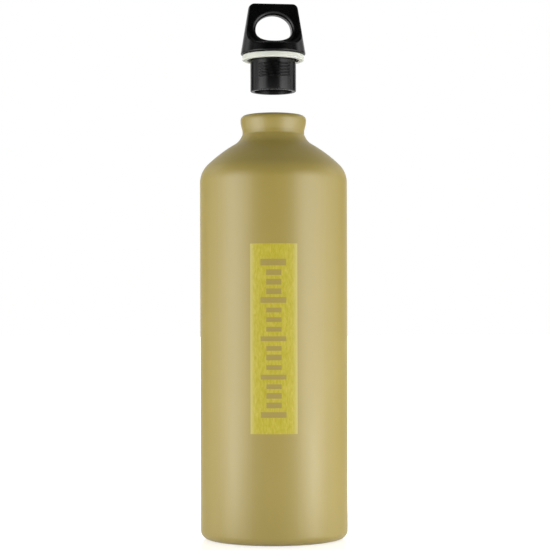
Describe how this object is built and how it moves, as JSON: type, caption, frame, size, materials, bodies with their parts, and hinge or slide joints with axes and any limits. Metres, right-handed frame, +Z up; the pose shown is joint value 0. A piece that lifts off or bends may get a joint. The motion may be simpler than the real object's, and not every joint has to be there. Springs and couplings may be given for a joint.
{
  "type": "aluminium drinking bottle",
  "caption": "Slim drawn aluminium drinking bottle with a rolled lip and a black screw stopper with a finger loop, shown lifted off.",
  "frame": {"origin": "middle of the bottle's base, on the plane that it stands on", "axes": "+Z up the bottle's axis, front towards -Y, +X to the right of someone who faces the front"},
  "size_m": [0.08, 0.08, 0.2905],
  "materials": {
    "shell_paint": "satin olive-gold powder coat on drawn aluminium",
    "turned_metal": "bare turned aluminium",
    "stopper_plastic": "semi-gloss black moulded polypropylene",
    "seal_silicone": "off-white moulded silicone"
  },
  "bodies": {
    "bottle": {"bottle_shell": "shell_paint", "thread_insert": "turned_metal"},
    "seal": {"seal_ring": "seal_silicone"},
    "cap": {"cap": "stopper_plastic"}
  },
  "joints": [
    {"name": "cap_lift", "type": "slide", "parent": "bottle", "child": "seal", "axis": [0, 0, 1], "range_m": [-0.0296, 0]},
    {"name": "cap_turn", "type": "hinge", "parent": "seal", "child": "cap", "pos_m": [0, 0, 0.263], "axis": [0, 0, 1], "range_deg": [-6660, 0]}
  ],
  "couplings": [
    {"joint": "cap_lift", "follows": "cap_turn", "m_per_rad": 0.00025465}
  ]
}
